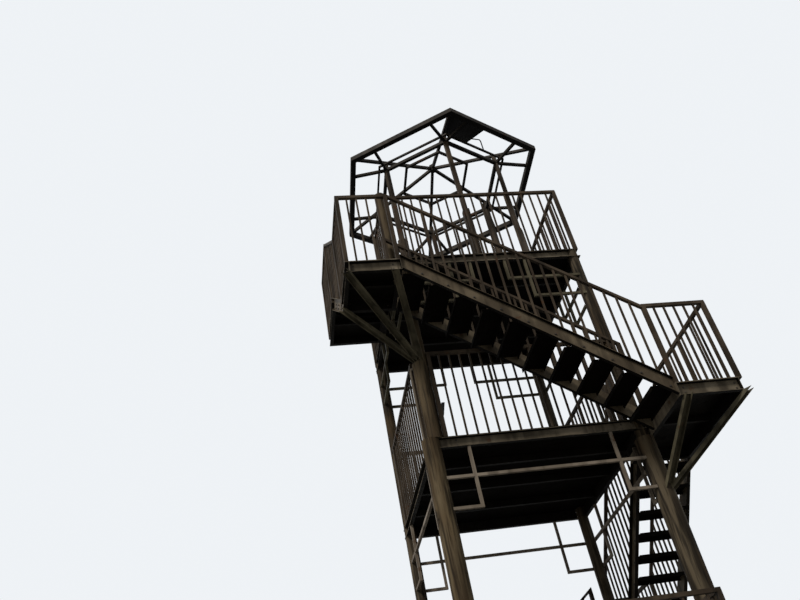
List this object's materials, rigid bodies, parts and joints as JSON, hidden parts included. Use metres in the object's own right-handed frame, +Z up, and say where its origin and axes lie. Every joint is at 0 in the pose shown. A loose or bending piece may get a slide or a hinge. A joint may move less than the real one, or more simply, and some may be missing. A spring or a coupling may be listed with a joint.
{
  "type": "observation tower",
  "caption": "Open steel-frame observation tower: round columns, plated decks, outside stairs with railings, and a bare six-sided roof frame.",
  "frame": {"origin": "on the ground, under the centre of the front left column", "axes": "+X to the right along the front, +Y from the front to the back, +Z up"},
  "size_m": [4.2142, 4.5125, 10.8],
  "materials": {
    "column_front_left": "weathered brown paint",
    "column_front_right": "weathered brown paint",
    "column_back": "weathered brown paint",
    "deck_frame": "weathered brown paint",
    "deck_plate": "weathered brown paint",
    "landing": "weathered brown paint",
    "stringer": "weathered brown paint",
    "tread": "weathered brown paint",
    "brace": "weathered brown paint",
    "lattice": "weathered brown paint",
    "railing": "weathered brown paint",
    "roof_frame": "weathered brown paint",
    "roof_panel": "dark weathered sheet"
  },
  "bodies": {
    "root": {"front_left_column": "column_front_left", "front_right_column": "column_front_right", "back_left_column": "column_back", "back_right_column": "column_back", "lower_deck_frame": "deck_frame", "middle_deck_frame": "deck_frame", "top_deck_frame": "deck_frame", "lower_deck_plate": "deck_plate", "middle_deck_plate": "deck_plate", "top_deck_plate": "deck_plate", "left_landing": "landing", "top_walkway": "landing", "right_landing": "landing", "back_landing": "landing", "lower_back_landing": "landing", "lower_front_gallery": "landing", "front_flight_stringers": "stringer", "right_flight_stringers": "stringer", "back_flight_stringers": "stringer", "ground_flight_stringers": "stringer", "short_flight_stringers": "stringer", "front_flight_treads": "tread", "right_flight_treads": "tread", "back_flight_treads": "tread", "ground_flight_treads": "tread", "short_flight_treads": "tread", "left_landing_braces": "brace", "right_landing_braces": "brace", "back_landing_braces": "brace", "lower_landing_braces": "brace", "gallery_braces": "brace", "middle_lattice": "lattice", "top_lattice": "lattice", "middle_deck_railings": "railing", "top_deck_railings": "railing", "lower_deck_railings": "railing", "right_landing_railings": "railing", "left_landing_railings": "railing", "walkway_railings": "railing", "back_landing_railings": "railing", "lower_landing_railings": "railing", "gallery_railings": "railing", "front_flight_railings": "railing", "right_flight_railings": "railing", "back_flight_railings": "railing", "ground_flight_railings": "railing", "roof_ring_beam": "roof_frame", "roof_outer_ring": "roof_frame", "roof_inner_ring": "roof_frame", "roof_rafters": "roof_frame", "roof_eave_ring": "roof_frame", "roof_posts": "roof_frame", "roof_panel": "roof_panel"}
  },
  "joints": []
}
